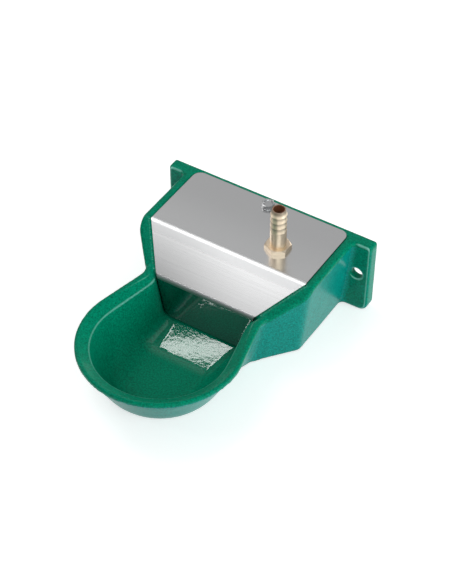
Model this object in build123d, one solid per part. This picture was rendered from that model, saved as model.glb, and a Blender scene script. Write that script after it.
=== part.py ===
# Small animal waterer: a cast drinking bowl with a float valve under a folded steel cover.
# Frame: origin midway between the two wall holes, on the wall face. X to the right,
# Y into the wall, Z up. The bowl reaches out toward -Y. Millimetres throughout.
import os
from math import acos, atan2, cos, hypot, pi, radians, sin, tan

from build123d import *

# Driving dimensions of the casting
TOP = 40.0              # cover plane above the wall holes
HEIGHT = 88.0           # underside to cover plane
FLOOR_THICK = 6.0       # metal under the water
HOUSING_HALF = 100.0    # half width of the float chamber outside, at the top
EAR = 20.0              # each ear of the wall flange beyond the chamber
FLANGE_HALF = HOUSING_HALF + EAR
FLANGE_TAPER = 1.5      # each end leans in by this much at the bottom
FLANGE_THICK = 13.6
HOLE_IN = 15.0          # wall holes in from the flange ends
WALL_HOLE_X = FLANGE_HALF - HOLE_IN
WALL_HOLE_D = 13.0      # clears an M12 screw
POCKET_DEPTH = 4.8      # the ears are cored from behind, which thins them round the holes
POCKET_RIM = 5.0        # metal left round each pocket
POCKET_REACH = 12.0     # from the hole toward the chamber
DRAFT = 7.0             # degrees, outside walls lean in toward the underside
DIAGONAL = 39.0         # degrees off the Y axis, walls from chamber to neck
NECK_Y = -136.8         # where diagonal and bowl flare would meet in a corner
NECK_HALF = 65.4        # half width of that corner at the lip
NECK_R = 18.0           # blend between diagonal and flare
CHAMBER_CORNER_R = 10.0 # at the underside, wider above as the walls lean out
FLANGE_LOW_R, FLANGE_TOP_R, FLANGE_ROOT_R = 9.0, 3.0, 5.0
EDGE_R = 3.0            # cast edges of rails and ears
BOWL_Y = -210.0         # centre of the round bowl
LIP_R = 83.0            # outer radius of the rim
RIM_DROP = 25.4         # rim crest below the cover plane
LIP_HEIGHT = 6.0        # depth of the band round the rim
BOWL_WALL_R = 80.0      # bowl radius just under the lip
BOWL_LEAN = 27.5        # degrees, outside of the bowl
BOWL_ROUND = 45.0       # outside round into the underside
RIM_INNER_R = 68.8
RIM_INNER_DROP = 32.0   # inner rim edge below the cover plane
INNER_LEAN = 22.0
INNER_ROUND = 38.0
INNER_DRAFT = 8.3       # degrees
NECK_FLOOR_R = 10.0     # neck walls round into the floor
INNER_NECK = 53.8       # half width of the hollow at the neck, at the rim
SIDE_WALL = 20.0        # from the outside at the top to the inside at the floor
CHAMBER_HALF = HOUSING_HALF - SIDE_WALL
BACK_WALL = 8.5         # metal behind the chamber
BOSS_D, BOSS_DEPTH = 18.0, 30.0   # boss for the cover screw

# Driving dimensions of the cover
SHEET = 1.5
RAIL = 10.0             # width of the rail each side of the cover
COVER_HALF = HOUSING_HALF - RAIL
COVER_BACK = -4.0
BEND2_Y, BEND2_DROP, BEND2_HALF = -132.6, 28.9, 56.7
COVER_DIAGONAL = 38.47  # degrees off the Y axis, edges of the sloping panel
BEND1_Y = BEND2_Y + (COVER_HALF - BEND2_HALF) / tan(radians(COVER_DIAGONAL))
PANEL_FOOT_Y, PANEL_FOOT_DROP, PANEL_FOOT_HALF = -131.4, 79.8, 47.6
COVER_CORNER_R, PANEL_FOOT_R = 9.0, 9.0
BEND1_R, BEND2_R = 9.0, 4.5     # outside radii of the folds
CREASE_R = BEND1_R + 1.0        # the rails turn down beside the upper fold
COVER_GAP = 1.3         # between cover edge and casting
LEDGE = 5.5             # width of the ledge that carries the cover
RAIL_DEPTH = 7.0        # metal under the ledge
LEDGE_END = 3.3         # the ledge stops this far behind the lower fold
LEDGE_END_Y = BEND2_Y + LEDGE_END
JOIN_BACK = 9.3         # bowl and chamber meet this far behind the neck corner
JOIN_Y = NECK_Y + JOIN_BACK
SCREW_Y, SCREW_D = -12.4, 8.0   # cover screw

# Hose tail and valve axis
TAIL_X = 40.2
TAIL_SHARE = 0.644818   # of the way from the back edge of the cover to the upper fold
TAIL_Y = COVER_BACK + TAIL_SHARE * (BEND1_Y - COVER_BACK)
TAIL_HEIGHT = 50.5
TAIL_D = 16.8
TAIL_BORE = 12.0
HEX_FLATS, HEX_HEIGHT, HEX_TURN = 24.0, 5.0, 32.0
STUB_D, STUB_LENGTH = 15.8, 13.0        # pipe thread under the hex, at mid depth of the thread
BARBS, BARB_PITCH, BARB_DEPTH = 4, 6.8, 1.0

# Float valve, hanging from the cover on the tail axis; drops are measured from the cover plane
GASKET = 2.0
BODY_FLATS, BODY_DROP = 26.0, 19.0      # hexagon of the valve body and its lower end
BARREL_D, BARREL_DROP = 18.0, 30.5
SEAT_DROP = 22.5        # rim of the nozzle
NOZZLE_BORE = 4.0
PLUNGER_D = 10.0
PLUNGER_TRAVEL = 2.76
PIVOT_ARM, PIVOT_DROP = 13.8, 38.0      # pivot to the right of the tail axis
PIN_D = 4.0
LEVER_W, LEVER_T = 8.0, 4.0
CHEEK_T = 4.0
FLOAT_L, FLOAT_W, FLOAT_H = 70.0, 62.0, 31.0
FLOAT_IN = 13.0         # water round the float, from the chamber wall at the floor
FLOAT_X = FLOAT_L / 2 + FLOAT_IN - CHAMBER_HALF
STUD_D = 5.0
STUD_IN, STUD_OUT = 13.5, 9.0           # into the float, and above the lever
LEVER_TAIL = 10.0                       # lever beyond the stud

# Clearances
RUN_FIT = 0.08          # radial, turning and sliding fits
STEP = 0.3              # between bodies that move past each other

FAR = 3 * FLANGE_HALF   # reach of the slabs and prisms that only cut
BEHIND = 12.6           # outlines of bowl and rim run on behind the neck, inside the chamber
LIP_BACK = NECK_Y + 3 * BEHIND
LIP_CORNER_R = 9.0
LIP_TOP_R = 2.2

BASE = TOP - HEIGHT
FLOOR = BASE + FLOOR_THICK
LIP_TOP = TOP - RIM_DROP
LIP_LOW = LIP_TOP - LIP_HEIGHT
RIM_IN_Z = TOP - RIM_INNER_DROP
BEND2_Z = TOP - BEND2_DROP
PANEL_FOOT_Z = TOP - PANEL_FOOT_DROP
FALL = atan2(BEND2_DROP, BEND1_Y - BEND2_Y)     # angle of the sloping panel
DIAG = radians(DIAGONAL)


def unit(a):
    size = hypot(*a)
    return (a[0] / size, a[1] / size)


def corner_arc(corner, u, v, radius):
    """Start, middle and end of a round at a plan corner between directions u and v."""
    half = acos(u[0] * v[0] + u[1] * v[1]) / 2
    w = unit((u[0] + v[0], u[1] + v[1]))
    run, far = radius / tan(half), radius / sin(half) - radius
    return [(corner[0] + d[0] * s, corner[1] + d[1] * s) for d, s in ((u, run), (w, far), (v, run))]


def half_plan_wire(z, points, closed_front=None):
    """Wire from the right half of a plan outline: L for line to, A for arc through."""
    def side(sign):
        at = [Vector(sign * x, y, z) for x, y in points["at"]]
        edges, i = [], 0
        for kind in points["kind"]:
            if kind == "L":
                edges.append(Edge.make_line(at[i], at[i + 1]))
                i += 1
            else:
                edges.append(Edge.make_three_point_arc(at[i], at[i + 1], at[i + 2]))
                i += 2
        return at, edges
    right, right_edges = side(1)
    left, left_edges = side(-1)
    if closed_front is None:
        front = Edge.make_line(left[0], right[0])
    else:
        front = Edge.make_three_point_arc(left[0], Vector(0, closed_front, z), right[0])
    back = Edge.make_line(right[-1], left[-1])
    return Wire([front] + right_edges + [back] + left_edges[::-1])


def bowl_wire(z, r, neck, side, corner_r, back, lean=DIAG, neck_y=NECK_Y, neck_r=NECK_R):
    """Plan outline: bowl arc, flare, neck blend, diagonal, corner, side, back."""
    d = (sin(lean), cos(lean))
    rise = neck_y - BOWL_Y
    a = atan2(rise, neck) - acos(r / hypot(neck, rise))
    t = (r * cos(a), BOWL_Y + r * sin(a))
    blend = corner_arc((neck, neck_y), unit((t[0] - neck, t[1] - neck_y)), d, neck_r)
    corner = (side, neck_y + d[1] * (side - neck) / d[0])
    turn = corner_arc(corner, (-d[0], -d[1]), (0, 1), corner_r)
    return half_plan_wire(z, {"at": [t] + blend + turn + [(side, back)], "kind": "LALAL"}, BOWL_Y - r)


def rounded_wall(r_top, z_top, z_low, lean, radius, pitch=12.0):
    """Radius and height pairs, evenly spaced, of a leaning wall that rounds into a flat bottom."""
    a0 = radians(lean)
    zc = z_low + radius
    rc = r_top - tan(a0) * (z_top - zc) - radius / cos(a0)
    r0, z0 = rc + radius * cos(a0), zc - radius * sin(a0)
    flat = round(hypot(r_top - r0, z_top - z0) / pitch)
    turn = round(radius * (pi / 2 - a0) / pitch)
    points = [(r_top + (r0 - r_top) * i / flat, z_top + (z0 - z_top) * i / flat) for i in range(flat)]
    arc = [a0 + (pi / 2 - a0) * i / turn for i in range(turn + 1)]
    return points + [(rc + radius * cos(a), zc - radius * sin(a)) for a in arc]


def yz_prism(points):
    at = [Vector(-FAR, y, z) for y, z in points]
    loop = [Edge.make_line(a, b) for a, b in zip(at, at[1:] + at[:1])]
    return extrude(Face(Wire(loop)), 2 * FAR, dir=(1, 0, 0))


def above_cover(depth):
    """Everything above the two upper cover faces, lowered by depth, its crease rounded."""
    y1, z1 = BEND1_Y + depth * tan(FALL / 2), TOP - depth
    y2 = NECK_Y - 3 * BEHIND
    r = max(CREASE_R - depth, 1.0)
    run, sag = r * tan(FALL / 2), r * (1 / cos(FALL / 2) - 1)
    fall = (-cos(FALL), -sin(FALL))
    on = [(FAR, z1), (y1 + run, z1), (y1 + sag * sin(FALL / 2), z1 - sag * cos(FALL / 2)),
          (y1 + fall[0] * run, z1 + fall[1] * run), (y2, z1 - (y1 - y2) * tan(FALL)),
          (y2, FAR), (FAR, FAR)]
    at = [Vector(-FAR, y, z) for y, z in on]
    loop = [Edge.make_line(at[0], at[1]), Edge.make_three_point_arc(at[1], at[2], at[3])]
    loop += [Edge.make_line(p, q) for p, q in zip(at[3:], at[4:] + at[:1])]
    return extrude(Face(Wire(loop)), 2 * FAR, dir=(1, 0, 0))


def box(x0, x1, y0, y1, z0, z1):
    return Pos((x0 + x1) / 2, (y0 + y1) / 2, (z0 + z1) / 2) * Box(x1 - x0, y1 - y0, z1 - z0)


def rod(x, y, z0, z1, d):
    return Pos(x, y, (z0 + z1) / 2) * Cylinder(d / 2, z1 - z0)


# Outside of the casting
def outer_neck(z):
    return NECK_HALF - (LIP_LOW - z) * tan(radians(DRAFT)) / cos(DIAG)


def outer_side(z):
    return HOUSING_HALF - (TOP - z) * tan(radians(DRAFT))


def chamber_wire(z, neck, side, front_y, corner_r, back):
    d = (sin(DIAG), cos(DIAG))
    front = (neck + d[0] * (front_y - NECK_Y) / d[1], front_y)
    corner = (side, NECK_Y + d[1] * (side - neck) / d[0])
    turn = corner_arc(corner, (-d[0], -d[1]), (0, 1), corner_r)
    return half_plan_wire(z, {"at": [front] + turn + [(side, back)], "kind": "LAL"})


def flange_plate():
    low = FLANGE_HALF - FLANGE_TAPER
    pts = [Vector(x, 0, z) for x, z in
           ((-low, BASE), (low, BASE), (FLANGE_HALF, TOP), (-FLANGE_HALF, TOP))]
    face = Face(Wire([Edge.make_line(a, b) for a, b in zip(pts, pts[1:] + pts[:1])]))
    plate = extrude(face, FLANGE_THICK, dir=(0, -1, 0))
    plate = fillet(plate.edges().filter_by(Axis.Y).filter_by(lambda e: e.center().Z < 0), FLANGE_LOW_R)
    return fillet(plate.edges().filter_by(Axis.Y).filter_by(lambda e: e.center().Z > 20), FLANGE_TOP_R)


def chamber_and_flange():
    foot = chamber_wire(BASE, outer_neck(BASE), outer_side(BASE), NECK_Y + 4, CHAMBER_CORNER_R, 12.0)
    chamber = extrude(Face(foot), HEIGHT, dir=(0, 0, 1), taper=-DRAFT)
    chamber = chamber - slab_y(0, FAR) - above_cover(0.0)
    body = chamber + flange_plate()
    body = fillet([e for e in body.edges() if e.length > HEIGHT / 2 and abs(e.center().Y + FLANGE_THICK) < 0.6
                   and abs(abs(e.center().X) - outer_side(e.center().Z)) < 1.0], FLANGE_ROOT_R)

    def outer_edge(e):
        c = e.center()
        ear = abs(c.Y + FLANGE_THICK) < FLANGE_ROOT_R + 0.5 and abs(c.X) > HOUSING_HALF
        rail = abs(c.X) > NECK_HALF + FLANGE_ROOT_R and c.Z > LIP_TOP - 2.6 and c.Y < 0.6 - FLANGE_THICK
        return ear or rail
    return fillet([e for e in body.edges() if outer_edge(e)], EDGE_R)


def slab_y(y0, y1):
    return box(-FAR, FAR, y0, y1, -FAR, FAR)


def casting_outside():
    near = DIAG - radians(1.0)
    hidden = 2.5                    # the wall runs up inside the lip
    wall = rounded_wall(BOWL_WALL_R + hidden * tan(radians(BOWL_LEAN)), LIP_LOW + hidden, BASE,
                        BOWL_LEAN, BOWL_ROUND)
    side = NECK_HALF + BEHIND
    bowl = Solid.make_loft([bowl_wire(z, r, outer_neck(z), side, LIP_CORNER_R - 3, LIP_BACK / 3, near)
                            for r, z in wall])
    band = bowl_wire(LIP_LOW, LIP_R, outer_neck(LIP_LOW) + 2.0, side - 2.0, LIP_CORNER_R, LIP_BACK, near,
                     NECK_Y + 2.9)
    lip = extrude(Face(band), LIP_HEIGHT, dir=(0, 0, 1))
    crest = lip.faces().sort_by(Axis.Z)[-1].edges().filter_by(lambda e: e.center().Y < LIP_BACK - 0.1)
    lip = fillet(crest, LIP_TOP_R)
    # Bowl and chamber meet in an upright plane just behind the neck blend
    joined = (bowl & slab_y(-FAR, JOIN_Y)) + (chamber_and_flange() & slab_y(JOIN_Y, FAR))
    return joined + lip


# Hollow of the casting: float chamber, neck and bowl are one space
def inner_neck(z, floor_r=0.0):
    low = max(FLOOR + floor_r - z, 0.0)
    turn_in = floor_r - (floor_r ** 2 - low ** 2) ** 0.5
    return INNER_NECK - (RIM_IN_Z - z) * tan(radians(INNER_DRAFT)) / cos(DIAG) - turn_in


def cover_half(y):
    return BEND2_HALF + (COVER_HALF - BEND2_HALF) * (y - BEND2_Y) / (BEND1_Y - BEND2_Y)


def cover_plan(grow, front, z0, z1):
    """Prism over the plan outline of the cover, grown by a margin, cut off at front."""
    back = COVER_BACK + grow
    half = COVER_HALF + grow
    edge = grow / cos(atan2(COVER_HALF - BEND2_HALF, BEND1_Y - BEND2_Y))
    slope = [(half, BEND1_Y - 0.3 * grow), (cover_half(front) + edge, front)]
    right = [(half, back)] + slope
    pts = [Vector(x, y, z0) for x, y in right + [(-x, y) for x, y in right[::-1]]]
    body = extrude(Face(Wire([Edge.make_line(a, b) for a, b in zip(pts, pts[1:] + pts[:1])])),
                   z1 - z0, dir=(0, 0, 1))
    corners = body.edges().filter_by(Axis.Z).filter_by(lambda e: abs(e.center().Y - back) < 0.01)
    return fillet(corners, max(COVER_CORNER_R + grow, 3.0))


def casting_hollow():
    lift = 1.7      # the bowl's hollow runs on above the inner rim edge
    near = DIAG - radians(0.5)
    wall = rounded_wall(RIM_INNER_R + lift * tan(radians(INNER_LEAN)), RIM_IN_Z + lift, FLOOR,
                        INNER_LEAN, INNER_ROUND)
    side = INNER_NECK + 1.3 * BEHIND
    low = Solid.make_loft([bowl_wire(z, r, inner_neck(z, NECK_FLOOR_R), side, LIP_CORNER_R,
                                     LIP_BACK / 2, near) for r, z in wall])
    floor = chamber_wire(FLOOR, inner_neck(FLOOR), CHAMBER_HALF, NECK_Y + 2, 9.0, 20.0)
    under = extrude(Face(floor), TOP - FLOOR, dir=(0, 0, 1), taper=-INNER_DRAFT)
    under = under & slab_y(LEDGE_END_Y, -BACK_WALL)
    y1, z1 = BEND1_Y + RAIL_DEPTH * tan(FALL / 2), TOP - RAIL_DEPTH
    rails = yz_prism([(FAR, z1), (y1, z1), (LEDGE_END_Y - 9, z1 - (y1 - LEDGE_END_Y + 9) * tan(FALL)),
                      (LEDGE_END_Y - 9, FAR), (FAR, FAR)])
    # The rim falls inward from its crest
    out, rise = LIP_R - 2.6 - RIM_INNER_R, LIP_TOP - RIM_IN_Z
    rim = Solid.make_loft([bowl_wire(RIM_IN_Z + k * rise, RIM_INNER_R + k * out, INNER_NECK + k * 6.5,
                                     side + 6.0, LIP_CORNER_R, LIP_BACK) for k in (-0.3, 1.5)], ruled=True)
    opening = cover_plan(-LEDGE, LEDGE_END_Y, LIP_LOW - 2 * BEHIND, TOP + 5.0)
    boss = rod(0, SCREW_Y, TOP - BOSS_DEPTH, TOP + 10, BOSS_D)
    boss += box(-BOSS_D / 2 + 0.5, BOSS_D / 2 - 0.5, SCREW_Y, 10, TOP - BOSS_DEPTH, TOP + 10)
    front = slab_y(-FAR, LEDGE_END_Y)
    return [rim & front, (low & front) + (under - rails - boss), opening - boss]


def ear_pocket(x):
    """Cored hollow behind an ear, open to the wall; its sides lean for the sand to let go."""
    inner, outer = WALL_HOLE_X - POCKET_REACH, FLANGE_HALF - FLANGE_TAPER - POCKET_RIM
    half, z0, z1 = (outer - inner) / 2, BASE + POCKET_RIM + 2.0, TOP - POCKET_RIM
    side = 1 if x > 0 else -1
    plan = Rectangle(2 * half, z1 - z0)
    core = extrude(fillet(plan.vertices(), 5.0), POCKET_DEPTH + 0.5, taper=6.0)
    return Pos(side * (inner + half), 0.5, (z0 + z1) / 2) * Rot(90, 0, 0) * core


def bowl_casting():
    body = casting_outside()
    for hollow in casting_hollow():
        body = body - hollow
    body = body - (cover_plan(COVER_GAP, BEND2_Y - 3.0, 0.0, TOP + 20) & above_cover(SHEET))
    body = body - rod(0, SCREW_Y, TOP - BOSS_DEPTH + 4, TOP, SCREW_D + 2 * RUN_FIT)
    for x in (-WALL_HOLE_X, WALL_HOLE_X):
        hole = Pos(x, -FLANGE_THICK / 2, 0) * Rot(90, 0, 0) * Cylinder(WALL_HOLE_D / 2, 40)
        mouth = Pos(x, -FLANGE_THICK, 0) * Rot(90, 0, 0) * Cone(WALL_HOLE_D / 2, WALL_HOLE_D / 2 + 1.6, 1.6)
        body = body - hole - mouth - ear_pocket(x)
    return body


# Cover: one sheet folded twice
def cover_sheet():
    foot = (PANEL_FOOT_Y, PANEL_FOOT_Z)
    lean = atan2(PANEL_FOOT_Y - BEND2_Y, BEND2_Z - PANEL_FOOT_Z)

    def line(t):
        """Upper face line at depth t: back edge, bend 1, bend 2, foot."""
        y1, z1 = BEND1_Y + t * tan(FALL / 2), TOP - t
        turn = pi / 2 + lean - FALL
        y2 = BEND2_Y + t * sin(FALL + turn / 2) / cos(turn / 2)
        z2 = BEND2_Z - t * cos(FALL + turn / 2) / cos(turn / 2)
        return [(COVER_BACK, TOP - t), (y1, z1), (y2, z2), (foot[0] + t * cos(lean), foot[1])]
    top, low = line(0.0), line(SHEET)
    body = yz_prism(top + low[::-1])
    bends = [(top[1], BEND1_R), (top[2], BEND2_R), (low[1], BEND1_R - SHEET), (low[2], BEND2_R - SHEET)]
    for (y, z), r in bends:
        bend = body.edges().filter_by(Axis.X).filter_by(
            lambda e: abs(e.center().Y - y) < 0.01 and abs(e.center().Z - z) < 0.01)
        body = fillet(bend, r)
    return body


def cover_plate():
    plan = cover_plan(0.0, BEND2_Y - 4.0, PANEL_FOOT_Z - 5, TOP + 5)
    z = BEND2_Z + 0.5
    right = [(PANEL_FOOT_HALF, PANEL_FOOT_Z), (BEND2_HALF, z), (FAR, z), (FAR, TOP + 5)]
    pts = [Vector(x, 5, h) for x, h in right + [(-x, h) for x, h in right[::-1]]]
    front = extrude(Face(Wire([Edge.make_line(a, b) for a, b in zip(pts, pts[1:] + pts[:1])])),
                    FAR, dir=(0, -1, 0))
    foot = front.edges().filter_by(Axis.Y).filter_by(lambda e: abs(e.center().Z - PANEL_FOOT_Z) < 0.01)
    front = fillet(foot, PANEL_FOOT_R)
    plate = cover_sheet() & plan & front
    plate = plate - rod(TAIL_X, TAIL_Y, TOP - 10, TOP + 5, STUB_D + 0.6)
    return plate - rod(0, SCREW_Y, TOP - 10, TOP + 5, SCREW_D + 1.0)


def hexagon(x, y, z0, z1, flats, turn=0.0):
    prism = extrude(RegularPolygon(flats / 2, 6, major_radius=False, rotation=turn), z1 - z0)
    return Pos(x, y, z0) * prism


def chamfered_hex(x, y, z0, z1, flats, turn=0.0, low=False, slant=0.0):
    """Hexagon with its corners turned off at 30 degrees, or down by slant, above and if asked below."""
    r = flats / 2
    reach = r * 0.155
    rise = slant or reach * tan(radians(30))
    pts = [(0, z0), (r * 0.98, z0), (r * 0.98 + reach, z0 + rise)] if low else [(0, z0), (r + reach, z0)]
    pts += [(r + reach, z1 - rise), (r * 0.98, z1), (0, z1)]
    return hexagon(x, y, z0, z1, flats, turn) & turned(x, y, pts)


def turned(x, y, profile):
    """Body of revolution about a vertical axis, from radius and height pairs."""
    at = [Vector(r, 0, z) for r, z in profile]
    face = Face(Wire([Edge.make_line(a, b) for a, b in zip(at, at[1:] + at[:1])]))
    return Pos(x, y, 0) * revolve(face, Axis.Z)


def hose_tail():
    r, z = TAIL_D / 2, TOP + TAIL_HEIGHT
    shank = r - 0.1
    foot = TOP - STUB_LENGTH
    profile = [(0, foot), (STUB_D / 2 - 1, foot), (STUB_D / 2, foot + 1), (STUB_D / 2, TOP), (shank, TOP),
               (shank, z - BARBS * BARB_PITCH - 1.0)]
    for i in range(BARBS, 0, -1):
        low = z - i * BARB_PITCH
        neck = r - (BARB_DEPTH if i > 1 else 1.5)
        profile += [(r, low), (r, low + 0.8), (neck, low + BARB_PITCH - 0.05)]
    profile += [(0, z - 0.05)]
    body = turned(TAIL_X, TAIL_Y, profile)
    body += chamfered_hex(TAIL_X, TAIL_Y, TOP, TOP + HEX_HEIGHT, HEX_FLATS, HEX_TURN, slant=HEX_HEIGHT / 3)
    return body - rod(TAIL_X, TAIL_Y, TOP - STUB_LENGTH - 1, z + 1, TAIL_BORE)


def ring(x, y, z0, z1, outer, inner):
    return rod(x, y, z0, z1, outer) - rod(x, y, z0 - 1, z1 + 1, inner)


def tail_gasket():
    return ring(TAIL_X, TAIL_Y, TOP - SHEET - GASKET, TOP - SHEET, BODY_FLATS - 1, STUB_D + 0.4)


PIVOT_X, PIVOT_Z = TAIL_X + PIVOT_ARM, TOP - PIVOT_DROP
SEAT_Z = TOP - SEAT_DROP
STUB_END = TOP - STUB_LENGTH
NOZZLE_D = 9.0
STOP_X = PIVOT_X + 5.6


def valve_body():
    top = TOP - SHEET - GASKET
    body = chamfered_hex(TAIL_X, TAIL_Y, TOP - BODY_DROP, top, BODY_FLATS, turn=30.0, low=True)
    body += rod(TAIL_X, TAIL_Y, TOP - BARREL_DROP, TOP - BODY_DROP + 1, BARREL_D)
    inside = LEVER_W / 2 + STEP
    for side in (-1, 1):
        y0, y1 = sorted((TAIL_Y + side * inside, TAIL_Y + side * (inside + CHEEK_T)))
        cheek = box(TAIL_X + 4, PIVOT_X, y0, y1, PIVOT_Z - 5, TOP - BODY_DROP + 1)
        cheek += box(PIVOT_X, STOP_X + 4, y0, y1, PIVOT_Z, TOP - BODY_DROP + 1)
        round_end = Pos(PIVOT_X, (y0 + y1) / 2, PIVOT_Z) * Rot(90, 0, 0) * Cylinder(5.0, CHEEK_T)
        cheek = cheek - box(PIVOT_X - 5, PIVOT_X + 6, y0 - 1, y1 + 1, PIVOT_Z - 6, PIVOT_Z) + round_end
        cheek = cheek - box(TAIL_X, TAIL_X + 8.8, y0 - 1, y1 + 1, PIVOT_Z - 6, PIVOT_Z + 3)
        body += cheek
    # The bridge between the cheeks stops the falling lever
    body += box(STOP_X, STOP_X + 4, TAIL_Y - inside - 1, TAIL_Y + inside + 1,
                PIVOT_Z + LEVER_T / 2 + STEP, TOP - BODY_DROP + 1)
    body = body - rod(TAIL_X, TAIL_Y, STUB_END - 1.0, top + 1, STUB_D + 2 * RUN_FIT)
    body = body - rod(TAIL_X, TAIL_Y, TOP - BARREL_DROP - 1, STUB_END, NOZZLE_D + 0.02)
    body = body - rod(TAIL_X, TAIL_Y, TOP - 25.5, TOP - 20.0, 13.0)
    body = body - rod(TAIL_X, TAIL_Y, TOP - BARREL_DROP - 1, TOP - 25.0, PLUNGER_D + 2 * RUN_FIT)
    # Water leaves through two windows below the seat
    window = Pos(TAIL_X, TAIL_Y, TOP - 23.6) * Rot(90, 0, 0) * Cylinder(1.9, BARREL_D + 4)
    body = body - window
    eye = Pos(PIVOT_X, TAIL_Y, PIVOT_Z) * Rot(90, 0, 0) * Cylinder(PIN_D / 2 + 0.04, 40)
    return body - eye


def valve_nozzle():
    z0 = SEAT_Z
    profile = [(NOZZLE_BORE / 2, z0), (NOZZLE_BORE / 2 + 0.7, z0), (NOZZLE_BORE / 2 + 1.3, z0 + 1.0),
               (5.5, z0 + 1.0), (5.5, z0 + 2.5), (NOZZLE_D / 2, z0 + 2.5), (NOZZLE_D / 2, STUB_END - 1.0),
               (NOZZLE_BORE / 2 + 1.6, STUB_END - 1.0), (NOZZLE_BORE / 2, STUB_END - 2.6)]
    return turned(TAIL_X, TAIL_Y, profile)


PLUNGER_TOP = SEAT_Z - STEP - PLUNGER_TRAVEL - 0.5
LEVER_TOP = PIVOT_Z + LEVER_T / 2


def plunger():
    r, nose = PLUNGER_D / 2, 2.0
    low = LEVER_TOP + 0.45
    body = turned(TAIL_X, TAIL_Y, [
        (0, low + nose), (nose, low + nose), (nose, TOP - 32.0), (r - 0.6, TOP - 32.0), (r, TOP - 31.4),
        (r, PLUNGER_TOP), (r - 0.9, PLUNGER_TOP), (r - 0.9, PLUNGER_TOP - 2.0), (0, PLUNGER_TOP - 2.0)])
    return body + Pos(TAIL_X, TAIL_Y, low + nose) * Sphere(nose)


def plunger_seal():
    r = PLUNGER_D / 2 - 0.9
    return rod(TAIL_X, TAIL_Y, PLUNGER_TOP - 2.0, PLUNGER_TOP + 0.5, 2 * r)


def along_y(x, z, y0, y1, d):
    return Pos(x, (y0 + y1) / 2, z) * Rot(90, 0, 0) * Cylinder(d / 2, y1 - y0)


CHEEK_OUT = LEVER_W / 2 + STEP + CHEEK_T


def pivot_pin():
    y0, y1 = TAIL_Y - CHEEK_OUT, TAIL_Y + CHEEK_OUT
    pin = along_y(PIVOT_X, PIVOT_Z, y0 - 1.0, y1 + 4.0, PIN_D)
    pin += along_y(PIVOT_X, PIVOT_Z, y0 - 1.6, y0, 7.0)
    return pin - rod(PIVOT_X, y1 + 2.0, PIVOT_Z - 5, PIVOT_Z + 5, 1.3)


def split_pin():
    y = TAIL_Y + CHEEK_OUT + 2.0
    leg = rod(PIVOT_X, y, PIVOT_Z - 5.0, PIVOT_Z + 3.0, 1.2)
    eye = Pos(PIVOT_X, y, PIVOT_Z + 3.9) * Rot(0, 90, 0) * (Cylinder(1.9, 1.2) - Cylinder(0.8, 2.0))
    bent = box(PIVOT_X - 0.5, PIVOT_X + 0.5, y, y + 3.2, PIVOT_Z - 5.4, PIVOT_Z - 4.4)
    return leg + eye + bent


LEVER_END = FLOAT_X - LEVER_TAIL


def float_lever():
    lo, hi = PIVOT_Z - LEVER_T / 2, PIVOT_Z + LEVER_T / 2
    bar = box(LEVER_END, STOP_X + 3.6, TAIL_Y - LEVER_W / 2, TAIL_Y + LEVER_W / 2, lo, hi)
    bar = fillet(bar.edges().filter_by(Axis.Z).filter_by(lambda e: e.center().X < 0), LEVER_W / 2 - 0.1)
    hub = along_y(PIVOT_X, PIVOT_Z, TAIL_Y - LEVER_W / 2, TAIL_Y + LEVER_W / 2, 2 * PIN_D)
    bar = bar + hub - along_y(PIVOT_X, PIVOT_Z, TAIL_Y - LEVER_W, TAIL_Y + LEVER_W, PIN_D + 2 * RUN_FIT)
    slot = box(FLOAT_X - 4, FLOAT_X + 4, TAIL_Y - STUD_D / 2 - 0.2, TAIL_Y + STUD_D / 2 + 0.2, lo - 1, hi + 1)
    slot = fillet(slot.edges().filter_by(Axis.Z), STUD_D / 2)
    return bar - slot


NUT_H = 4.0
FLOAT_TOP = PIVOT_Z - LEVER_T / 2 - NUT_H - 1.0


def float_body():
    body = box(FLOAT_X - FLOAT_L / 2, FLOAT_X + FLOAT_L / 2, TAIL_Y - FLOAT_W / 2, TAIL_Y + FLOAT_W / 2,
               FLOAT_TOP - FLOAT_H, FLOAT_TOP)
    body = fillet(body.edges().filter_by(Axis.Z), 14.0)
    body = chamfer(body.faces().sort_by(Axis.Z)[-1].edges() + body.faces().sort_by(Axis.Z)[0].edges(), 2.5)
    body += turned(FLOAT_X, TAIL_Y, [(0, FLOAT_TOP - 1), (8.0, FLOAT_TOP - 1), (6.5, FLOAT_TOP + 1.0),
                                     (0, FLOAT_TOP + 1.0)])
    return body - rod(FLOAT_X, TAIL_Y, FLOAT_TOP - STUD_IN - 0.5, FLOAT_TOP + 2, STUD_D + 0.1)


STUD_TOP = LEVER_TOP + STUD_OUT


def float_stud():
    stud = rod(FLOAT_X, TAIL_Y, FLOAT_TOP - STUD_IN, STUD_TOP, STUD_D)
    return chamfer(stud.faces().sort_by(Axis.Z)[-1].edges(), 0.6)


def float_nut():
    z1 = PIVOT_Z - LEVER_T / 2
    nut = chamfered_hex(FLOAT_X, TAIL_Y, z1 - NUT_H, z1, 8.0, low=True)
    return nut - rod(FLOAT_X, TAIL_Y, z1 - 9, z1 + 1, STUD_D + 0.1)


def float_washer():
    return ring(FLOAT_X, TAIL_Y, LEVER_TOP, LEVER_TOP + 1.0, 12.0, STUD_D + 0.4)


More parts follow.
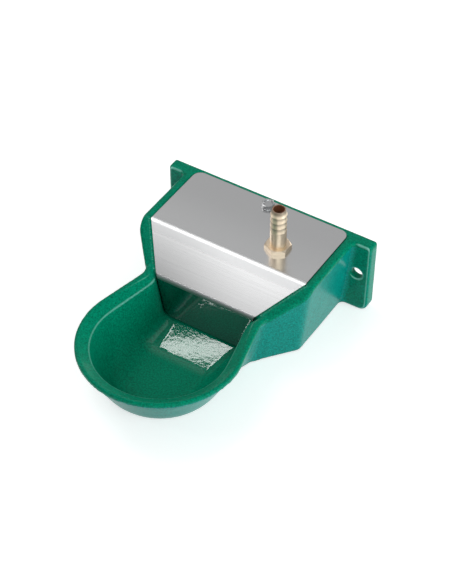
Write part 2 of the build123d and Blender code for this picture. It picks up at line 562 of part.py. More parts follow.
def wing_nut():
    z0 = LEVER_TOP + 1.0 + STEP
    bore = STUD_D / 2 + RUN_FIT
    hub = turned(FLOAT_X, TAIL_Y, [(bore, z0), (5.0, z0), (4.0, z0 + 5.0), (bore, z0 + 5.0)])
    for side in (-1, 1):
        a, b = FLOAT_X + side * 3.6, FLOAT_X + side * 11.0
        pts = [Vector(a, TAIL_Y - 0.9, z0 + 1.2), Vector(b, TAIL_Y - 0.9, z0 + 4.5),
               Vector(b, TAIL_Y - 0.9, z0 + 9.0), Vector(a + side * 2.0, TAIL_Y - 0.9, z0 + 7.5),
               Vector(a, TAIL_Y - 0.9, z0 + 4.6)]
        face = Face(Wire([Edge.make_line(p, q) for p, q in zip(pts, pts[1:] + pts[:1])]))
        wing = extrude(face, 1.8, dir=(0, 1, 0))
        tips = wing.edges().filter_by(Axis.Y).filter_by(lambda e: abs(e.center().X - b) < 0.1)
        hub += fillet(tips, 1.8)
    return hub


# Cover screw with a low dished head, and its washer
WASHER_H, WASHER_D = 0.8, 13.6
HEAD_FLATS, HEAD_H = 12.0, 3.4


def cover_washer():
    return ring(0, SCREW_Y, TOP, TOP + WASHER_H, WASHER_D, SCREW_D + 0.4)


def cover_screw():
    z = TOP + WASHER_H
    top = z + HEAD_H
    head = chamfered_hex(0, SCREW_Y, z, top, HEAD_FLATS, turn=15.0)
    head = head - turned(0, SCREW_Y, [(0, top - 0.9), (HEAD_FLATS / 2 - 2.2, top - 0.9),
                                      (HEAD_FLATS / 2 - 1.2, top + 0.1), (0, top + 0.1)])
    shank = rod(0, SCREW_Y, TOP - BOSS_DEPTH + 6.0, z + 0.5, SCREW_D)
    return head + chamfer(shank.faces().sort_by(Axis.Z)[0].edges(), 1.0)


NODES = {
    "bowl_casting": bowl_casting, "cover_plate": cover_plate, "cover_screw": cover_screw,
    "cover_washer": cover_washer, "hose_tail": hose_tail, "tail_gasket": tail_gasket,
    "valve_body": valve_body, "valve_nozzle": valve_nozzle, "plunger": plunger,
    "plunger_seal": plunger_seal, "pivot_pin": pivot_pin, "split_pin": split_pin,
    "float_lever": float_lever, "float": float_body, "float_stud": float_stud,
    "float_nut": float_nut, "float_washer": float_washer, "wing_nut": wing_nut,
}

os.makedirs("parts", exist_ok=True)
for name, make in NODES.items():
    export_step(make(), f"parts/{name}.step")
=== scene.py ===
# %% [markdown]
# Small animal waterer: a green enamelled drinking bowl with a float chamber behind it,
# closed by a folded stainless cover. A brass hose tail brings the water in through the cover.
# The rigid shapes come from the CAD model, which is loaded first and never moved. This file
# gives them their finish, lays a soft skin over the casting, and sets up camera, lamps and
# floor. Everything is in metres: X right, Y into the wall, Z up.

# %% Load the CAD frame
import math

import bmesh
import bpy
from mathutils import Matrix, Vector, noise


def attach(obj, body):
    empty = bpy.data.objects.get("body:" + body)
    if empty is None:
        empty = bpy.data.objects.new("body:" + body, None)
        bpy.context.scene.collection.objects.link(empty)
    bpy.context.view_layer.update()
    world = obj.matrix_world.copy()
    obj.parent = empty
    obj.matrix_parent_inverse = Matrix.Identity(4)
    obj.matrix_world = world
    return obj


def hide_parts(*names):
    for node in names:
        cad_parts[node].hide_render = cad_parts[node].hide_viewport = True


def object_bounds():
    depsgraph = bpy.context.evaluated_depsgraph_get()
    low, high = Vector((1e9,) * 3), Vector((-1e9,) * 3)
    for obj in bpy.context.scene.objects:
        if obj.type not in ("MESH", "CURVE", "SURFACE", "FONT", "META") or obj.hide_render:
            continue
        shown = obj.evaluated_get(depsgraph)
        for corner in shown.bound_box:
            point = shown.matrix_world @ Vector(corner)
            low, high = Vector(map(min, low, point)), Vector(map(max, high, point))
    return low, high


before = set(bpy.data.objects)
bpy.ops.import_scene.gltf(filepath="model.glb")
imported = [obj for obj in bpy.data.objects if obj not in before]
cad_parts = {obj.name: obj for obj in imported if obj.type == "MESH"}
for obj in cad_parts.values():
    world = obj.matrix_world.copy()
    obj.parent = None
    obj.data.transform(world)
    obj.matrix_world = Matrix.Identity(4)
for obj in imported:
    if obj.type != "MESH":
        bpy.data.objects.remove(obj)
cad_low, cad_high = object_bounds()
print("CAD box from", [round(v, 4) for v in cad_low], "to", [round(v, 4) for v in cad_high])

# %% [markdown]
# The photograph was taken with a long lens from the front right, well above the bowl. A camera
# can be placed by eye, but the straight edges of cover and flange give it exactly: its place
# and turn were solved so that their corners fall on the same pixels. The turn is written
# as three axes, because that is what a camera matrix holds.

# %% Camera
IMAGE_LONG_SIDE = 584
SENSOR_WIDTH = 36.0
FOCAL_PIXELS = 1928.28
NEAR_CLIP, FAR_CLIP = 0.05, 50.0
EYE = Vector((0.74090, -1.27419, 1.33352))
AZIMUTH, ELEVATION, ROLL = (math.radians(a) for a in (32.08, 44.05, 0.18))

look_back = Vector((math.sin(AZIMUTH) * math.cos(ELEVATION), -math.cos(AZIMUTH) * math.cos(ELEVATION),
                    math.sin(ELEVATION)))
level = Vector((math.cos(AZIMUTH), math.sin(AZIMUTH), 0))
upright = look_back.cross(level)
right = level * math.cos(ROLL) + upright * math.sin(ROLL)
up = upright * math.cos(ROLL) - level * math.sin(ROLL)

camera = bpy.data.objects.new("camera", bpy.data.cameras.new("camera"))
camera.data.sensor_width = SENSOR_WIDTH
camera.data.lens = FOCAL_PIXELS * SENSOR_WIDTH / IMAGE_LONG_SIDE
camera.data.clip_start = NEAR_CLIP
camera.data.clip_end = FAR_CLIP
camera.matrix_world = Matrix.Translation(EYE) @ Matrix((right, up, look_back)).transposed().to_4x4()
bpy.context.scene.collection.objects.link(camera)
bpy.context.scene.camera = camera
print(f"camera: {camera.data.lens:.1f} mm lens, {EYE.length:.2f} m from the middle of the wall holes")

# %% [markdown]
# Materials are built from nodes, and two kinds come back all the time: one that turns a range
# of values into another, and one that works out a value from two. Writing out each socket
# every time would hide what a material does, so short helpers add such nodes and join them.

# %% Helpers for shader nodes
def new_material(name):
    """A material, the function that joins its sockets, its shader, and one that adds nodes."""
    material = bpy.data.materials.new(name)
    material.use_nodes = True
    tree = material.node_tree
    shader = tree.nodes["Principled BSDF"]

    def add(kind, **settings):
        node = tree.nodes.new(kind)
        for key, value in settings.items():
            if key in node.inputs:
                node.inputs[key].default_value = value
            else:
                setattr(node, key, value)
        return node
    return material, tree.links.new, shader, add


def ramp(add, link, source, start, end, low=0.0, high=1.0, smooth=False):
    """A node that turns the range from start to end of its source into low to high."""
    node = add("ShaderNodeMapRange", interpolation_type="SMOOTHSTEP" if smooth else "LINEAR")
    for key, value in (("From Min", start), ("From Max", end), ("To Min", low), ("To Max", high)):
        node.inputs[key].default_value = value
    link(source, node.inputs["Value"])
    return node


def combine(add, link, kind, operation, *values, **settings):
    """A Math or Vector Math node; each of its values is a socket to join, or a constant."""
    node = add(kind, operation=operation, **settings)
    for entry, value in zip(node.inputs, values):
        if isinstance(value, bpy.types.NodeSocket):
            link(value, entry)
        else:
            entry.default_value = value
    return node


MATH, VECTOR_MATH = "ShaderNodeMath", "ShaderNodeVectorMath"
print("helpers:", ", ".join(helper.__name__ for helper in (new_material, ramp, combine)))

# %% [markdown]
# The photo has a plain white ground with hardly a shadow on it. A floor bright enough to look
# white would throw too much light up at the object. So the floor is a pale grey for the light
# that falls on it, and a glow lifts it to white only where the camera or a reflection sees it.

# %% Floor
FLOOR_DROP = 0.0002     # the floor lies this far below the lowest point
FLOOR_REACH = 4.0       # from its middle to each edge
FLOOR_Z = cad_low.z - FLOOR_DROP
PAPER = (0.82, 0.80, 0.79, 1)
PAPER_ROUGHNESS = 0.9
PAPER_GLOW = 0.55

mesh = bmesh.new()
bmesh.ops.create_grid(mesh, x_segments=1, y_segments=1, size=FLOOR_REACH,
                      matrix=Matrix.Translation((0, 0, FLOOR_Z)))
floor_data = bpy.data.meshes.new("floor")
mesh.to_mesh(floor_data)
mesh.free()
floor = bpy.data.objects.new("floor", floor_data)
bpy.context.scene.collection.objects.link(floor)

paper, link, shader, add = new_material("white_paper")
shader.inputs["Base Color"].default_value = PAPER
shader.inputs["Roughness"].default_value = PAPER_ROUGHNESS
glow = add("ShaderNodeEmission", Strength=PAPER_GLOW)
both = add("ShaderNodeAddShader")
seen = add("ShaderNodeLightPath")
pick = add("ShaderNodeMixShader")
lifted = combine(add, link, MATH, "MAXIMUM", seen.outputs["Is Camera Ray"], seen.outputs["Is Glossy Ray"])
link(shader.outputs[0], both.inputs[0])
link(glow.outputs[0], both.inputs[1])
link(lifted.outputs[0], pick.inputs[0])
link(shader.outputs[0], pick.inputs[1])
link(both.outputs[0], pick.inputs[2])
output = [n for n in paper.node_tree.nodes if n.type == "OUTPUT_MATERIAL"][0]
link(pick.outputs[0], output.inputs["Surface"])
floor_data.materials.append(paper)
print("floor at", round(FLOOR_Z, 4))

# %% [markdown]
# The sky does the same: the camera sees pure white behind the object, and the object is lit
# from all sides by a much weaker, faintly cool light.

# %% Sky
SKY_COLOUR = (0.97, 0.985, 1.0, 1)
SKY_STRENGTH = 0.28
WHITE = (1, 1, 1, 1)

world = bpy.data.worlds.new("studio")
bpy.context.scene.world = world
world.use_nodes = True
sky = world.node_tree
background = sky.nodes["Background"]
background.inputs["Color"].default_value = SKY_COLOUR
background.inputs["Strength"].default_value = SKY_STRENGTH
backdrop = sky.nodes.new("ShaderNodeBackground")
backdrop.inputs["Color"].default_value = WHITE
backdrop.inputs["Strength"].default_value = 1.0
path = sky.nodes.new("ShaderNodeLightPath")
choose = sky.nodes.new("ShaderNodeMixShader")
sky.links.new(path.outputs["Is Camera Ray"], choose.inputs[0])
sky.links.new(background.outputs[0], choose.inputs[1])
sky.links.new(backdrop.outputs[0], choose.inputs[2])
sky.links.new(choose.outputs[0], sky.nodes["World Output"].inputs["Surface"])
bpy.context.scene.view_settings.view_transform = "Standard"
print("sky strength", SKY_STRENGTH)

# %% [markdown]
# The cover is nearly a mirror, so what it shows are the lamps themselves. They could be placed
# by position, but a reflection depends on direction. So each large lamp is given by the
# direction in which the object sees it and by how bright its face looks from there.


# %% Lamps
def area_lamp(name, place, aim, width, height, watts, colour=(1, 1, 1)):
    """A rectangular lamp at a place, turned to shine at another."""
    lamp = bpy.data.objects.new(name, bpy.data.lights.new(name, "AREA"))
    lamp.data.shape = "RECTANGLE"
    lamp.data.size = width
    lamp.data.size_y = height
    lamp.data.energy = watts
    lamp.data.color = colour
    lamp.location = place
    lamp.rotation_mode = "QUATERNION"
    lamp.rotation_quaternion = (Vector(place) - Vector(aim)).to_track_quat("Z", "Y")
    bpy.context.scene.collection.objects.link(lamp)
    return lamp


def lamp_toward(name, direction, distance, width, height, radiance, colour=(1, 1, 1)):
    """A lamp seen from the object in one direction, its strength given as the brightness it shows."""
    watts = radiance * math.pi * width * height
    place = MIDDLE + Vector(direction).normalized() * distance
    return area_lamp(name, place, MIDDLE, width, height, watts, colour)


MIDDLE = Vector((0, -0.14, 0))
PALE_CYAN = (0.92, 0.98, 1.0)
CYAN = (0.84, 0.96, 1.0)
# Name, direction, distance, width, height, brightness, colour
lamps = [
    lamp_toward("front_sheet", (-0.38, -0.40, 0.83), 2.4, 1.4, 0.6, 0.66),
    lamp_toward("top_left", (-0.70, 0.15, 0.70), 2.4, 0.9, 0.9, 3.0),
    lamp_toward("overhead", (-0.38, 0.08, 0.92), 2.4, 1.2, 0.9, 2.4),
    lamp_toward("back_sheet", (-0.38, 0.61, 0.70), 2.6, 2.0, 1.2, 0.30),
    lamp_toward("back_strip", (-0.05, 0.98, 0.16), 2.6, 3.0, 0.35, 3.0),
    lamp_toward("camera_side", (0.50, -0.60, 0.62), 3.0, 2.4, 1.6, 1.9, PALE_CYAN),
    lamp_toward("side_card", (0.97, 0.1, 0.20), 2.2, 1.6, 0.8, 7.5, CYAN),
]
print("lamps:", ", ".join(lamp.name for lamp in lamps))

# %% [markdown]
# The bright patch on the bowl floor is the picture of a small window, seen in the wet floor by
# way of the hanging sheet. It could be painted on the floor, but then it would stay when the
# cover lifts. Rays from the camera to the corners of the patch were followed over both
# mirrors, and the lamp stands 1.4 m away where they meet, a little widened to the right.

# %% Small window
WINDOW = Vector((-0.543, -0.995, 0.947))
WINDOW_AIM = Vector((0.39, 0.61, -0.69))
WINDOW_WIDTH, WINDOW_HEIGHT, WINDOW_RADIANCE = 0.148, 0.040, 23.0
window_watts = WINDOW_RADIANCE * math.pi * WINDOW_WIDTH * WINDOW_HEIGHT
window = area_lamp("small_window", WINDOW, WINDOW + WINDOW_AIM, WINDOW_WIDTH, WINDOW_HEIGHT, window_watts)
print(f"{window.name}: {window_watts:.2f} watts")

# %% [markdown]
# No enamel, turned metal or rubber has one even colour. A picture of the surface could bring
# the variation, but noise in code has no seams and no fixed sharpness. Enamel and all the
# plain finishes want the same speckle, so it is a group with its scale and depth as inputs.


# %% Group that speckles a surface
def speckle_group():
    """Value near 1 that flickers, by as much as its depth says."""
    group = bpy.data.node_groups.new("speckle", "ShaderNodeTree")
    for name in ("Scale", "Depth"):
        group.interface.new_socket(name, in_out="INPUT", socket_type="NodeSocketFloat")
    group.interface.new_socket("Value", in_out="OUTPUT", socket_type="NodeSocketFloat")
    entry, leave = group.nodes.new("NodeGroupInput"), group.nodes.new("NodeGroupOutput")
    where = group.nodes.new("ShaderNodeTexCoord")
    fine = group.nodes.new("ShaderNodeTexNoise")
    fine.inputs["Detail"].default_value = 3.0
    fine.inputs["Roughness"].default_value = 0.65
    spread = group.nodes.new("ShaderNodeMapRange")
    spread.inputs["From Min"].default_value = 0.3
    spread.inputs["From Max"].default_value = 0.7
    low = group.nodes.new("ShaderNodeMath")
    low.operation = "SUBTRACT"
    low.inputs[0].default_value = 1.0
    high = group.nodes.new("ShaderNodeMath")
    high.operation = "ADD"
    high.inputs[0].default_value = 1.0
    join = group.links.new
    join(where.outputs["Object"], fine.inputs["Vector"])
    join(entry.outputs["Scale"], fine.inputs["Scale"])
    join(fine.outputs["Fac"], spread.inputs["Value"])
    join(entry.outputs["Depth"], low.inputs[1])
    join(entry.outputs["Depth"], high.inputs[1])
    join(low.outputs[0], spread.inputs["To Min"])
    join(high.outputs[0], spread.inputs["To Max"])
    join(spread.outputs["Result"], leave.inputs["Value"])
    return group


SPECKLE = speckle_group()
print("group:", SPECKLE.name)

# %% [markdown]
# Shade is painted into the narrow gaps, such as the one round the cover. The shader can
# find such places by itself: Ambient Occlusion tells how much of the sky a point sees.


# %% Group that finds crevices
def crevice_group():
    """Value 1 on open surface that falls to 0 in narrow gaps, such as the one round the cover."""
    group = bpy.data.node_groups.new("crevice_finder", "ShaderNodeTree")
    group.interface.new_socket("Reach", in_out="INPUT", socket_type="NodeSocketFloat")
    group.interface.new_socket("Open", in_out="OUTPUT", socket_type="NodeSocketFloat")
    entry, leave = group.nodes.new("NodeGroupInput"), group.nodes.new("NodeGroupOutput")
    shut = group.nodes.new("ShaderNodeAmbientOcclusion")
    shut.samples = 8
    spread = group.nodes.new("ShaderNodeMapRange")
    spread.inputs["From Min"].default_value = 0.20
    spread.inputs["From Max"].default_value = 0.62
    join = group.links.new
    join(entry.outputs["Reach"], shut.inputs["Distance"])
    join(shut.outputs["AO"], spread.inputs["Value"])
    join(spread.outputs["Result"], leave.inputs["Open"])
    return group


CREVICE = crevice_group()
print("group:", CREVICE.name)

# %% [markdown]
# Cast iron under glossy green enamel. The enamel is not one flat green: a fine speckle runs
# through it, and the outer walls, which lean out over the floor, carry a painted cool light that
# makes them a cooler green than the bowl inside. Two materials would leave a line where they
# meet, so one material mixes the two greens by the way the surface faces.


# %% Enamel colour
def place_group(add, group, **values):
    """A node that holds a group, its inputs set by name."""
    node = add("ShaderNodeGroup")
    node.node_tree = group
    for key, value in values.items():
        node.inputs[key].default_value = value
    return node


def colour_mix(add, blend, fac=1.0):
    """A Mix node for colours: the node, its two colour inputs and its colour output."""
    node = add("ShaderNodeMix", data_type="RGBA", blend_type=blend)
    node.inputs["Factor"].default_value = fac
    return node, node.inputs[6], node.inputs[7], node.outputs[2]


GREEN = (0.0, 0.214, 0.116, 1)
PAINTED_COOL_GREEN = (0.0, 0.235, 0.190, 1)
ENAMEL_GRAIN, ENAMEL_DEPTH = 620.0, 0.48
LEAN_START, LEAN_FULL = 0.06, -0.12     # height of the normal where teal begins and is full

enamel, link, shader, add = new_material("green_enamel")
surface = add("ShaderNodeNewGeometry")
coords = add("ShaderNodeTexCoord")
facing = add("ShaderNodeSeparateXYZ")
link(surface.outputs["Normal"], facing.inputs["Vector"])
leaning = ramp(add, link, facing.outputs["Z"], LEAN_START, LEAN_FULL, smooth=True)
# Painted cool light: faces that lean out and down get a bluer green.
cool_light_mix, inside, cool_lit_colour, ground = colour_mix(add, "MIX")
link(leaning.outputs["Result"], cool_light_mix.inputs["Factor"])
inside.default_value = GREEN
cool_lit_colour.default_value = PAINTED_COOL_GREEN
grains = place_group(add, SPECKLE, Scale=ENAMEL_GRAIN, Depth=ENAMEL_DEPTH)
_, base, by, tinted = colour_mix(add, "MULTIPLY")
link(ground, base)
link(grains.outputs["Value"], by)
print("material:", enamel.name)

# %% [markdown]
# The edges round the drinking place carry a painted highlight: a pale mint line that stands in
# for lamp glints on the rounded enamel. It could be painted by hand, or found with the Bevel
# node. The skin is an even mesh, so Geometry's Pointiness, which tells how sharply a surface
# bulges, finds the edges in one node. Only edges that look toward the drinking place are let through.

# %% Painted glints on the edges of the enamel
PAINTED_GLINT = (0.30, 0.72, 0.60, 1)
EDGE_START, EDGE_FULL, GLINT_SHARE = 0.510, 0.540, 0.9      # pointiness, and share of mint
DRINKING_PLACE = (0, -0.18, 0)
FLAT = (1, 1, 0)
TOWARD_START, TOWARD_FULL = 0.35, 0.60      # how squarely an edge looks toward the place

# Painted highlight: a mint line on sharp edges that face the drinking place.
edges = ramp(add, link, surface.outputs["Pointiness"], EDGE_START, EDGE_FULL, high=GLINT_SHARE)
inward = combine(add, link, VECTOR_MATH, "SUBTRACT", DRINKING_PLACE, coords.outputs["Object"])
level_way = combine(add, link, VECTOR_MATH, "MULTIPLY", inward.outputs["Vector"], FLAT)
toward = combine(add, link, VECTOR_MATH, "NORMALIZE", level_way.outputs["Vector"])
match = combine(add, link, VECTOR_MATH, "DOT_PRODUCT", toward.outputs["Vector"], surface.outputs["Normal"])
glinting = ramp(add, link, match.outputs["Value"], TOWARD_START, TOWARD_FULL, smooth=True)
glint_mask = combine(add, link, MATH, "MULTIPLY", edges.outputs["Result"], glinting.outputs["Result"])
glint_mix, under, pale, glinted_colour = colour_mix(add, "MIX")
link(glint_mask.outputs[0], glint_mix.inputs["Factor"])
link(tinted, under)
pale.default_value = PAINTED_GLINT
print("edges rubbed toward", DRINKING_PLACE)

# %% [markdown]
# A nearly black green is painted into the narrow gaps as shade. A mask that is 1 on open
# surface chooses between the painted shade and the enamel, so the dark line follows the cover's
# edge without being drawn.

# %% Painted shade in the gaps of the enamel
PAINTED_GAP_SHADE = (0.004, 0.012, 0.010, 1)
GAP_REACH = 0.0035

# Painted shade: the enamel turns nearly black where Ambient Occlusion finds a narrow gap.
gaps = place_group(add, CREVICE, Reach=GAP_REACH)
gap_shade_mix, deep, open_colour, enamel_colour = colour_mix(add, "MIX")
link(gaps.outputs["Open"], gap_shade_mix.inputs["Factor"])
deep.default_value = PAINTED_GAP_SHADE
link(glinted_colour, open_colour)
link(enamel_colour, shader.inputs["Base Color"])
print("painted_shade: the gaps are looked for over", GAP_REACH, "m")

# %% [markdown]
# Enamel is glass, and glossiest where the water stands, on the bowl floor in front of the
# hanging sheet. A full clear coat everywhere would mirror every lamp in the walls too, so the
# coat is thin, and full only on level surface that lies low and near the sheet.

# %% Gloss of the enamel
UPWARD_START, UPWARD_FULL = 0.80, 0.95      # height of the normal on level surface
FLOOR_BELOW = -0.030                        # the bowl floor lies below this
NEAR_START, NEAR_FULL = -0.186, -0.174      # toward the hanging sheet
THIN_COAT, FULL_COAT = 0.05, 1.0

shader.inputs["Roughness"].default_value = 0.30
shader.inputs["Specular IOR Level"].default_value = 0.10
shader.inputs["Specular Tint"].default_value = (0.12, 1.0, 0.95, 1)
shader.inputs["Coat Roughness"].default_value = 0.03
position = add("ShaderNodeSeparateXYZ")
link(coords.outputs["Object"], position.inputs["Vector"])
upward = ramp(add, link, facing.outputs["Z"], UPWARD_START, UPWARD_FULL)
low_down = combine(add, link, MATH, "LESS_THAN", position.outputs["Z"], FLOOR_BELOW)
near = ramp(add, link, position.outputs["Y"], NEAR_START, NEAR_FULL, smooth=True)
flat_low = combine(add, link, MATH, "MULTIPLY", upward.outputs["Result"], low_down.outputs[0])
wet = combine(add, link, MATH, "MULTIPLY", flat_low.outputs[0], near.outputs["Result"])
coat = ramp(add, link, wet.outputs[0], 0.0, 1.0, THIN_COAT, FULL_COAT)
link(coat.outputs["Result"], shader.inputs["Coat Weight"])
print("coat from", THIN_COAT, "to", FULL_COAT)

# %% [markdown]
# Fired enamel is never quite flat, which shows as a slight wobble in what it mirrors. Moving the
# mesh so finely would take millions of squares, so a bump tips the shading alone.

# %% Ripple of the enamel
PEEL_SCALE, PEEL_DETAIL = 230.0, 2.0
PEEL_STRENGTH, PEEL_HEIGHT = 0.08, 0.0004

peel = add("ShaderNodeTexNoise", Scale=PEEL_SCALE, Detail=PEEL_DETAIL)
link(coords.outputs["Object"], peel.inputs["Vector"])
ripple = add("ShaderNodeBump", Strength=PEEL_STRENGTH, Distance=PEEL_HEIGHT)
link(peel.outputs["Fac"], ripple.inputs["Height"])
link(ripple.outputs["Normal"], shader.inputs["Normal"])
link(ripple.outputs["Normal"], shader.inputs["Coat Normal"])
print("ripple up to", PEEL_HEIGHT, "m high, at strength", PEEL_STRENGTH)

# %% [markdown]
# The cover is stainless sheet with a fine grain that runs from side to side. Anisotropic
# shading needs tangents, which a CAD mesh lacks, so the grain is real: a noise 150 times finer
# across than along X tips the surface a little, which smears reflections across the grain.

# %% Grain of the stainless sheet
GRAIN_ALONG, GRAIN_ACROSS = 6.0, 900.0
GRAIN_LOW, GRAIN_HIGH = 0.3, 0.7
SMOOTHEST, ROUGHEST = 0.19, 0.26

stainless, link, shader, add = new_material("brushed_stainless")
shader.inputs["Metallic"].default_value = 1.0
coords = add("ShaderNodeTexCoord")
position = add("ShaderNodeSeparateXYZ")
link(coords.outputs["Object"], position.inputs["Vector"])
stretch = add("ShaderNodeMapping")
stretch.inputs["Scale"].default_value = (GRAIN_ALONG, GRAIN_ACROSS, GRAIN_ACROSS)
link(coords.outputs["Object"], stretch.inputs["Vector"])
streaks = add("ShaderNodeTexNoise", Scale=1.0, Detail=4.0, Roughness=0.7)
link(stretch.outputs["Vector"], streaks.inputs["Vector"])
rough = ramp(add, link, streaks.outputs["Fac"], GRAIN_LOW, GRAIN_HIGH, SMOOTHEST, ROUGHEST)
tip = add("ShaderNodeBump", Strength=0.03, Distance=0.0002)
link(streaks.outputs["Fac"], tip.inputs["Height"])
link(tip.outputs["Normal"], shader.inputs["Normal"])
print("material:", stainless.name)

# %% [markdown]
# The sheet is not equally smooth all over. The lower fold is dull where the press held it, the
# upper fold is rounder, and matt on and just below the bend, and the hanging part is kept
# smooth by water. Masks from the height and depth of a point place all three.

# %% Folds of the stainless sheet
UPPER_FOLD_Y, LOWER_FOLD_Z = -0.0907, 0.0094
FOLD_CORE, FOLD_END, FOLD_ROUGHNESS = 0.0014, 0.0034, 0.60      # the first two from the lower fold
SPLASH = 0.003      # over this much below the lower fold the wet part gives way to the dry
WET_ROUGHNESS = 0.04
BEND_SHIFT, BEND_CORE, BEND_END, BEND_ROUGHNESS = 0.003, 0.003, 0.011, 0.40

from_fold = combine(add, link, MATH, "SUBTRACT", position.outputs["Z"], LOWER_FOLD_Z)
apart = combine(add, link, MATH, "ABSOLUTE", from_fold.outputs[0])
fold = ramp(add, link, apart.outputs[0], FOLD_CORE, FOLD_END, 1.0, 0.0, smooth=True)
dry = ramp(add, link, position.outputs["Z"], LOWER_FOLD_Z - SPLASH, LOWER_FOLD_Z, smooth=True)
grained = ramp(add, link, dry.outputs["Result"], 0.0, 1.0, low=WET_ROUGHNESS)
link(rough.outputs["Result"], grained.inputs["To Max"])
dull = ramp(add, link, fold.outputs["Result"], 0.0, 1.0, high=FOLD_ROUGHNESS)
link(grained.outputs["Result"], dull.inputs["To Min"])
from_bend = combine(add, link, MATH, "SUBTRACT", position.outputs["Y"], UPPER_FOLD_Y - BEND_SHIFT)
beside = combine(add, link, MATH, "ABSOLUTE", from_bend.outputs[0])
matt = ramp(add, link, beside.outputs[0], BEND_CORE, BEND_END, BEND_ROUGHNESS, 0.0, smooth=True)
most = combine(add, link, MATH, "MAXIMUM", dull.outputs["Result"], matt.outputs["Result"])
link(most.outputs[0], shader.inputs["Roughness"])
print("folds at y", UPPER_FOLD_Y, "and z", LOWER_FOLD_Z)

# %% [markdown]
# The sheet's brightness is painted reflection: the slope is painted brightest below the upper
# fold and to the right, the top nearly even, and the hanging part darker. Each part gets its own
# brightness from where it lies, and the masks of the folds join them, with a painted grey on the lower
# fold.

# %% Painted brightness of the stainless sheet
ACROSS_LEFT, ACROSS_RIGHT, ACROSS_GAIN = -0.075, 0.055, 0.27
SLOPE_LOW, SLOPE_HIGH, SLOPE_DARK, SLOPE_BRIGHT = 0.012, 0.038, 0.44, 0.84
TOP_FRONT, TOP_BACK, TOP_BRIGHT, TOP_DARK = -0.085, -0.025, 0.69, 0.62
HANGING_BRIGHTNESS = 0.42
PAINTED_FOLD_GREY = (0.48, 0.49, 0.49, 1)

# Painted reflection: the slope is brighter to the right and higher up.
across = ramp(add, link, position.outputs["X"], ACROSS_LEFT, ACROSS_RIGHT, 0.0, ACROSS_GAIN, smooth=True)
down = ramp(add, link, position.outputs["Z"], SLOPE_LOW, SLOPE_HIGH, SLOPE_DARK, SLOPE_BRIGHT)
slope_sheen = combine(add, link, MATH, "ADD", across.outputs["Result"], down.outputs["Result"], use_clamp=True)
upper = ramp(add, link, position.outputs["Y"], TOP_FRONT, TOP_BACK, TOP_BRIGHT, TOP_DARK, smooth=True)
on_top = combine(add, link, MATH, "GREATER_THAN", position.outputs["Y"], UPPER_FOLD_Y)
panels = ramp(add, link, on_top.outputs[0], 0.0, 1.0)
link(slope_sheen.outputs[0], panels.inputs["To Min"])
link(upper.outputs["Result"], panels.inputs["To Max"])
bright = ramp(add, link, dry.outputs["Result"], 0.0, 1.0, low=HANGING_BRIGHTNESS)
link(panels.outputs["Result"], bright.inputs["To Max"])
# Painted shade: the lower fold is a flat grey.
shade, sheet_tone, fold_grey_input, sheet_colour = colour_mix(add, "MIX")
link(fold.outputs["Result"], shade.inputs["Factor"])
link(bright.outputs["Result"], sheet_tone)
fold_grey_input.default_value = PAINTED_FOLD_GREY
link(sheet_colour, shader.inputs["Base Color"])
print("slope brightness from", SLOPE_DARK, "to", SLOPE_BRIGHT)

# %% [markdown]
# The other metals and the plastics are simpler: one colour with a fine speckle in it, and a
# roughness that wanders a little, because no turned or moulded surface is perfectly even.
# The hose tail alone has more: a coppery bore, and painted shade in the grooves between its barbs.


# %% Plain finishes
def tail_colours(add, link, body_colour, x, y, radius, inside):
    """The colour of a turned piece with a bore, with painted shade in its grooves, by distance from its
    axis.
    """
    coords = add("ShaderNodeTexCoord")
    flat = combine(add, link, VECTOR_MATH, "MULTIPLY", coords.outputs["Object"], FLAT)
    from_axis = combine(add, link, VECTOR_MATH, "DISTANCE", flat.outputs["Vector"], (x, y, 0))
    within = combine(add, link, MATH, "LESS_THAN", from_axis.outputs["Value"], radius)
    # Painted shade: the brass is darker nearer the axis, in the grooves between the barbs.
    grooves = ramp(add, link, from_axis.outputs["Value"], radius + GROOVE_START, radius + GROOVE_END,
                   low=GROOVE_SHADE)
    _, plain, shade_by, shaded = colour_mix(add, "MULTIPLY")
    link(body_colour, plain)
    link(grooves.outputs["Result"], shade_by)
    lined, outer, inner, result = colour_mix(add, "MIX")
    link(within.outputs[0], lined.inputs["Factor"])
    link(shaded, outer)
    inner.default_value = (*inside, 1)
    return result


def plain_finish(name, colour, roughness, metallic=0.0, grain=700.0, depth=0.06, bump=0.05, bore=None):
    """A plain finish; bore, where given, is (x, y, radius, colour) of an upright hole in the piece."""
    material, link, shader, add = new_material(name)
    spots = place_group(add, SPECKLE, Scale=grain, Depth=depth)
    _, first, second, result = colour_mix(add, "MULTIPLY")
    first.default_value = (*colour, 1)
    link(spots.outputs["Value"], second)
    if bore:
        result = tail_colours(add, link, result, *bore)
    link(result, shader.inputs["Base Color"])
    wander = combine(add, link, MATH, "MULTIPLY", spots.outputs["Value"], roughness)
    link(wander.outputs[0], shader.inputs["Roughness"])
    shader.inputs["Metallic"].default_value = metallic
    tip = add("ShaderNodeBump", Strength=bump, Distance=0.0002)
    link(spots.outputs["Value"], tip.inputs["Height"])
    link(tip.outputs["Normal"], shader.inputs["Normal"])
    print("material:", name)
    return material


GROOVE_START, GROOVE_END, GROOVE_SHADE = 0.0011, 0.0018, 0.35       # beyond the radius of the bore
TAIL_BORE = (0.0402, -0.0599, 0.0063, (0.98, 0.66, 0.48))

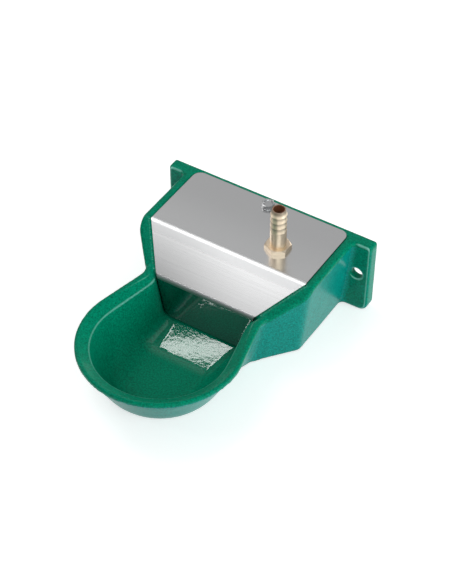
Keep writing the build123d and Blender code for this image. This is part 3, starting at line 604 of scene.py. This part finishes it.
brass = plain_finish("turned_brass", (0.74, 0.59, 0.42), 0.36, metallic=1.0, grain=400.0)
tail_brass = plain_finish("tail_brass", (0.84, 0.69, 0.52), 0.38, metallic=1.0, grain=400.0,
                          bore=TAIL_BORE)
zinc = plain_finish("zinc_plate", (0.55, 0.55, 0.555), 0.30, metallic=1.0)
pins = plain_finish("bright_steel", (0.60, 0.60, 0.60), 0.28, metallic=1.0)
nylon = plain_finish("grey_nylon", (0.62, 0.62, 0.59), 0.45, depth=0.04)
foam = plain_finish("cream_float", (0.72, 0.68, 0.58), 0.55, depth=0.08)
rubber = plain_finish("black_rubber", (0.02, 0.02, 0.02), 0.60, depth=0.20)

# %% [markdown]
# The solid of the casting has crisp corners where walls meet, but iron poured in sand and dipped
# in enamel has none: every edge is soft and no face is quite flat. Bevels on each edge would
# be one way. Here a copy of the solid is rebuilt as an even mesh of small squares, its corners
# are relaxed, and a slow noise moves the skin in and out by about a tenth of a millimetre.


# %% Even mesh over the casting
def copy_of_node(node, name):
    """Copy of a CAD node as one welded mesh, its triangles joined at their corners."""
    work = bmesh.new()
    work.from_mesh(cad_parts[node].data)
    bmesh.ops.remove_doubles(work, verts=work.verts, dist=WELD)
    data = bpy.data.meshes.new(name)
    work.to_mesh(data)
    work.free()
    piece = bpy.data.objects.new(name, data)
    bpy.context.scene.collection.objects.link(piece)
    return piece


def settle(piece):
    """Applies the piece's modifiers to its mesh."""
    depsgraph = bpy.context.evaluated_depsgraph_get()
    data = bpy.data.meshes.new_from_object(piece.evaluated_get(depsgraph))
    piece.modifiers.clear()
    piece.data = data
    return piece


WELD = 0.00002
SKIN_GRID = 0.0015
RELAX, RELAX_TURNS, SOFTEN_TURNS = 0.5, 4, 2

casting_skin = copy_of_node("bowl_casting", "casting_skin")
squares = casting_skin.modifiers.new("squares", "REMESH")
squares.mode = "VOXEL"
squares.voxel_size = SKIN_GRID
squares.use_smooth_shade = True
relax = casting_skin.modifiers.new("relax", "SMOOTH")
relax.factor = RELAX
relax.iterations = RELAX_TURNS
onto = casting_skin.modifiers.new("onto", "SHRINKWRAP")
onto.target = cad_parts["bowl_casting"]
onto.wrap_method = "NEAREST_SURFACEPOINT"
soften = casting_skin.modifiers.new("soften", "SMOOTH")
soften.factor = RELAX
soften.iterations = SOFTEN_TURNS
settle(casting_skin)
print("casting skin:", len(casting_skin.data.polygons), "squares")

# %% [markdown]
# The even mesh now gets its slow swell. A bump would only tip the shading, while moved points
# also bend the outline a little. The bowl floor swells less than the rest, because
# it mirrors the window by way of the sheet, and a swell there would tear the patch apart.

# %% Swell of the skin
BOWL_FLOOR_Z, FLOOR_BAND = -0.042, 0.001
LEVEL_NORMAL = 0.98
SLOW_SCALE, SLOW_SWELL = 55.0, 0.00010
FINE_SCALE, FINE_SWELL = 150.0, 0.00005
CALM = 0.1      # share of the swell that is left on the bowl floor

skin = bmesh.new()
skin.from_mesh(casting_skin.data)
skin.normal_update()
for v in skin.verts:
    swell = noise.noise(v.co * SLOW_SCALE) * SLOW_SWELL + noise.noise(v.co * FINE_SCALE) * FINE_SWELL
    inner_floor = v.normal.z > LEVEL_NORMAL and v.co.z < BOWL_FLOOR_Z + FLOOR_BAND
    v.co += v.normal * swell * (CALM if inner_floor else 1.0)
skin.to_mesh(casting_skin.data)
skin.free()
casting_skin.data.materials.append(enamel)
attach(casting_skin, "casting")
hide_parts("bowl_casting")
print("skin swells by up to", SLOW_SWELL + FINE_SWELL, "m")

# %% [markdown]
# Every CAD node gets a finish, also the valve and the float, which come into view when the
# cover is lifted. A table from finish to nodes shows at a glance which pieces share one.

# %% Finish for each CAD node
FINISH = {
    enamel: ["bowl_casting"],
    stainless: ["cover_plate"],
    tail_brass: ["hose_tail"],
    brass: ["valve_nozzle", "float_lever", "wing_nut"],
    zinc: ["cover_screw", "cover_washer"],
    pins: ["pivot_pin", "split_pin", "float_stud", "float_nut", "float_washer"],
    nylon: ["valve_body", "plunger"],
    foam: ["float"],
    rubber: ["tail_gasket", "plunger_seal"],
}
for material, nodes in FINISH.items():
    for node in nodes:
        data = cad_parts[node].data
        data.materials.clear()
        data.materials.append(material)
print("finished nodes:", sum(len(nodes) for nodes in FINISH.values()), "of", len(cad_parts))
